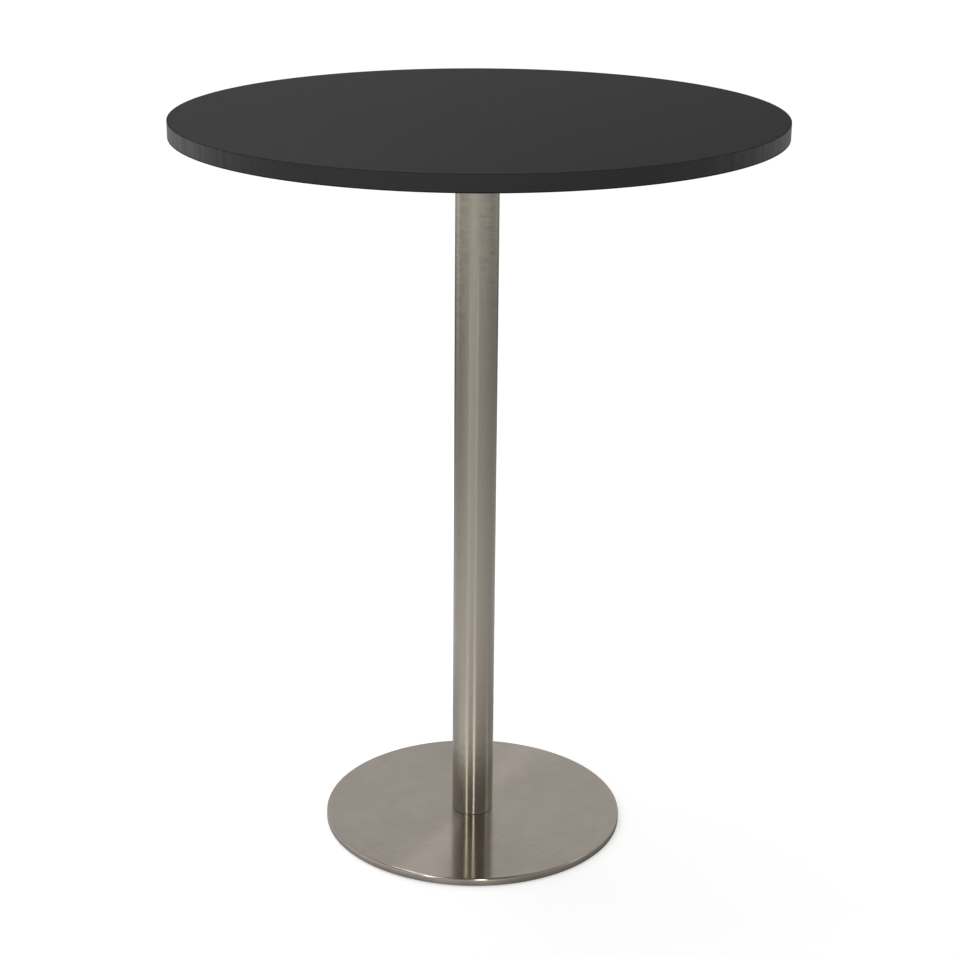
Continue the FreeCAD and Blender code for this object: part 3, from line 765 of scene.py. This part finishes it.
world = bpy.data.worlds.new("studio_world")
bpy.context.scene.world = world
world.use_nodes = True
surround = world.node_tree
direction = surround.nodes.new("ShaderNodeSeparateXYZ")
feed(surround, direction,
     Vector=surround.nodes.new("ShaderNodeTexCoord").outputs["Generated"])
left, front, above = (
    ramp(surround, direction.outputs[axis], "SMOOTHSTEP", From_Min=start, From_Max=full)
    for axis, start, full in PATCH_SIDES)
patch = arithmetic(surround, "MULTIPLY", arithmetic(surround, "MULTIPLY", left, front), above)
in_gloss = arithmetic(surround, "MULTIPLY_ADD", patch, -PATCH_DEPTH, SURROUND_REFLECTED)
feed(surround, surround.nodes["Background"], Color=(1, 1, 1, 1),
     Strength=ray_strength(surround, SURROUND_LIGHT, SURROUND_SEEN, in_gloss))

GLOSS_LAMP_COLOR = (0.95, 1.0, 0.985)


def area_lamp(name, azimuth, elevation, distance, width, height, power, aim_height=0.1,
              lights_all=True):
    """A rectangular lamp; azimuth 0 is in front of the table and 90 to its right, in degrees.

    It points at the table's axis, at the aim's height. A lamp that does not light all shows
    only in the gloss of what it shines on.
    """
    a, e = math.radians(azimuth), math.radians(elevation)
    light = bpy.data.lights.new(name, "AREA")
    light.shape = "RECTANGLE"
    light.size, light.size_y, light.energy = width, height, power
    light.color = (1, 1, 1) if lights_all else GLOSS_LAMP_COLOR
    lamp = placed(name, light)
    lamp.location = (
        distance * math.sin(a) * math.cos(e),
        -distance * math.cos(a) * math.cos(e),
        aim_height + distance * math.sin(e),
    )
    lamp.rotation_euler = Euler((math.pi / 2 - e, 0, a))
    lamp.visible_diffuse = lamp.visible_camera = lights_all


area_lamp("overhead_softbox", azimuth=-150, elevation=52, distance=1.6, width=0.7, height=0.7,
          power=13, aim_height=1.0)
area_lamp("side_softbox", azimuth=-43, elevation=54, distance=3.0, width=1.1, height=1.3,
          power=14)
for lamp_name, azimuth, width, power in (("strip_left", -34, 1.25, 215),
                                         ("strip_front", 7, 1.4, 260),
                                         ("strip_right", 92, 3.5, 80)):
    area_lamp(lamp_name, azimuth, elevation=33, distance=12.0, width=width, height=4.4,
              power=power, lights_all=False)

RING_NEAR = 0.15
RING_FAR = 15.0
RING_HEIGHT = 0.0003
RING_TONE = 0.97
# The cosine of the azimuth: its strength and the azimuth where it is brightest, in degrees.
RING_SIDE = (0.29, -46)
# Each dip: its distance, its spread as a logarithm, its depth, how far it sways to the right.
RING_DIPS = ((0.38, 0.35, 0.42, 0.0), (3.2, 0.72, 0.97, 0.15))
# The far brightness: where it sets in and is full, its tone, and the cosine of the azimuth.
RING_FAR_LIGHT = (4, 9, 1.1, 0.9)
# The shade under the rim: its distance, half width and depth.
RIM_SHADE = (0.225, 0.022, 0.7)
# Each pool of light: azimuth and half width in degrees, distance, spread as a logarithm, strength.
FLOOR_POOLS = (
    (-55, 33, 0.27, 0.45, 0.58), (-55, 45, 0.28, 0.12, 0.7), (-15, 21, 3.3, 1.0, 0.32),
    (-14, 8, 0.243, 0.1, 0.15), (-33, 14, 0.243, 0.12, -0.25), (-118, 18, 6.0, 0.7, 0.8),
    (122, 22, 6.0, 0.7, 0.35),
)
# Each ray of light starts beside the base: azimuth and half width in degrees, strength.
FLOOR_RAYS = ((-36, 8, 1.3), (6, 7, 3.1), (84, 8, 0.5))
RAY_START = 0.27
RAY_END = 0.9
# The rays begin from nothing at this distance and are full a little farther out.
RAY_ONSET = (0.25, 0.04)


def bell(value, middle, half_width):
    """A bell that is 1 in the middle: e to the power of -((value - middle) / half width)^2."""
    return np.exp(-((value - middle) / half_width) ** 2)


def reflected_floor(name, turns=360, rings=90):
    """What the polished steel sees of the floor: a flat ring of grey that its mirror rays meet.

    Strength = (middle tone + a cosine of the azimuth) * (1 - a shallow dip near the base) * (1 - a
    deep dip 3 m away), both bell-shaped in the logarithm of the distance, + a far brightness that
    sets in between 4 and 9 m, + pools of light, all * (1 - the shade under the rim), + narrow
    rays, which fade as the fourth power of the distance left to their ends.
    """
    azimuth = np.linspace(0, 2 * math.pi, turns, endpoint=False)[None, :]
    reach = np.geomspace(RING_NEAR, RING_FAR, rings)[:, None]
    across, along = reach * np.sin(azimuth), -reach * np.cos(azimuth)
    points = np.stack([across, along, np.full_like(across, RING_HEIGHT)], axis=-1)
    degrees = (np.degrees(azimuth) + 180) % 360 - 180
    side, brightest = RING_SIDE
    tone = RING_TONE + side * np.cos(azimuth - math.radians(brightest))
    for distance, spread, depth, sway in RING_DIPS:
        tone = tone * (1 - depth * bell(np.log(reach / distance), sway * np.sin(azimuth), spread))
    onset, full, far_tone, far_side = RING_FAR_LIGHT
    far_light = eased_step(np.log(reach / onset) / math.log(full / onset))
    tone = tone + (far_tone + far_side * np.cos(azimuth)) * far_light
    for middle, half_width, distance, spread, strength in FLOOR_POOLS:
        tone = tone + (strength * bell(degrees, middle, half_width)
                       * bell(np.log(reach / distance), 0, spread))
    rim_distance, rim_width, rim_depth = RIM_SHADE
    tone = tone * (1 - rim_depth * bell(reach, rim_distance, rim_width))
    fade = (np.clip((RAY_END - reach) / (RAY_END - RAY_START), 0, 1) ** 4
            * np.clip((reach - RAY_ONSET[0]) / RAY_ONSET[1], 0, 1))
    for middle, half_width, strength in FLOOR_RAYS:
        tone = tone + strength * fade * bell(degrees, middle, half_width)
    mesh = bpy.data.meshes.new(name)
    mesh.from_pydata(points.reshape(-1, 3).tolist(), [],
                     ring_faces(rings, turns).reshape(-1, 4).tolist())
    tones = mesh.attributes.new("tone", "FLOAT", "POINT").data
    tones.foreach_set("value", tone.astype(np.float32).ravel())
    material, tree, shader = new_material(name, Base_Color=(0, 0, 0, 1), Specular_IOR_Level=0.0,
                                          Emission_Color=(1, 1, 1, 1))
    tone_of_place = tree.nodes.new("ShaderNodeAttribute")
    tone_of_place.attribute_name = "tone"
    feed(tree, shader, Emission_Strength=tone_of_place.outputs["Fac"])
    material.cycles.emission_sampling = "NONE"
    mesh.materials.append(material)
    ring = placed(name, mesh)
    ring.visible_camera = ring.visible_diffuse = False
    ring.visible_shadow = ring.visible_transmission = False


reflected_floor("reflected_floor")

# Camera: level sideways, tipped down, with a slight turn to the left of the table.
PICTURE_PIXELS = 958
FOCAL_PIXELS = 2080.4
SENSOR_WIDTH = 36.0
CAMERA_DISTANCE = 2.8667
CAMERA_HEIGHT = 1.5585
CAMERA_PITCH = 0.3550
CAMERA_YAW = -0.0243
CENTRE_SHIFT = (-51.6, 33.9)
camera_data = bpy.data.cameras.new("camera")
camera_data.sensor_width = SENSOR_WIDTH
camera_data.lens = FOCAL_PIXELS * SENSOR_WIDTH / PICTURE_PIXELS
camera_data.shift_x = -CENTRE_SHIFT[0] / PICTURE_PIXELS
camera_data.shift_y = CENTRE_SHIFT[1] / PICTURE_PIXELS
camera = placed("camera", camera_data)
camera.location = (0, -CAMERA_DISTANCE, CAMERA_HEIGHT)
camera.rotation_euler = Euler((math.pi / 2 - CAMERA_PITCH, 0, -CAMERA_YAW))
bpy.context.scene.camera = camera
bpy.context.scene.view_settings.view_transform = "Standard"
